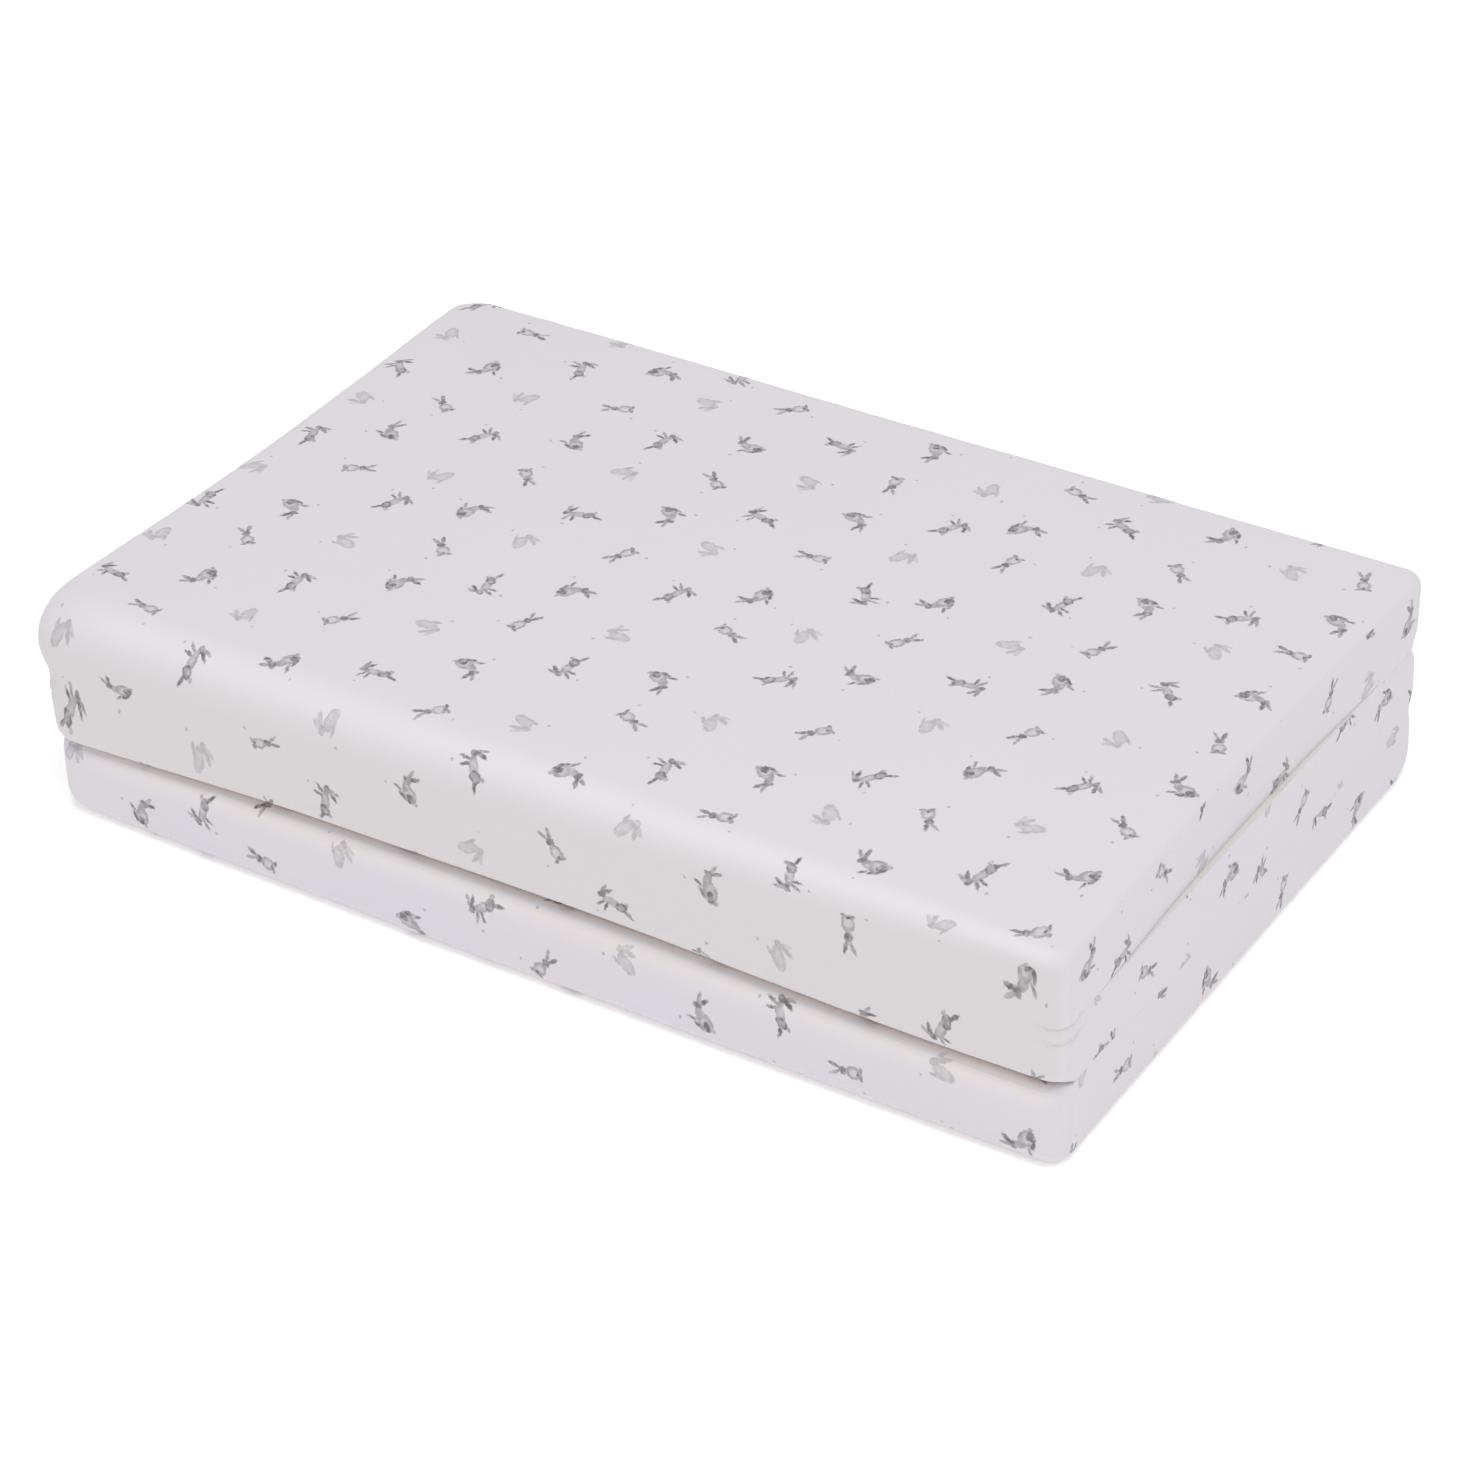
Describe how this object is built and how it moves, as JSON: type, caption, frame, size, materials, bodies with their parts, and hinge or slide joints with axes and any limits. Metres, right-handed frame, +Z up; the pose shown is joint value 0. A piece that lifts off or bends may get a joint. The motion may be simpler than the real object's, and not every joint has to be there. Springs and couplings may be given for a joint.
{
  "type": "folding travel mattress",
  "caption": "Travel cot mattress of three padded panels in one printed cotton cover, folded in a Z into a compact block that rests on its bottom panel.",
  "frame": {"origin": "centre of the folded mattress in plan, at its underside", "axes": "+X along the panels' width to the right, +Y to the back, +Z up; the folded front face looks along -Y"},
  "size_m": [0.5999, 0.394, 0.123],
  "materials": {
    "printed_cotton": "matt off-white woven cotton with small grey animal motifs",
    "border_cotton": "the same cotton, cut as border strips"
  },
  "bodies": {
    "root": {"folded_pad": "printed_cotton", "border_top_left": "border_cotton", "border_top_right": "border_cotton", "border_top_back": "border_cotton", "border_middle_left": "border_cotton", "border_middle_right": "border_cotton", "border_bottom_left": "border_cotton", "border_bottom_right": "border_cotton", "border_bottom_front": "border_cotton"}
  },
  "joints": []
}
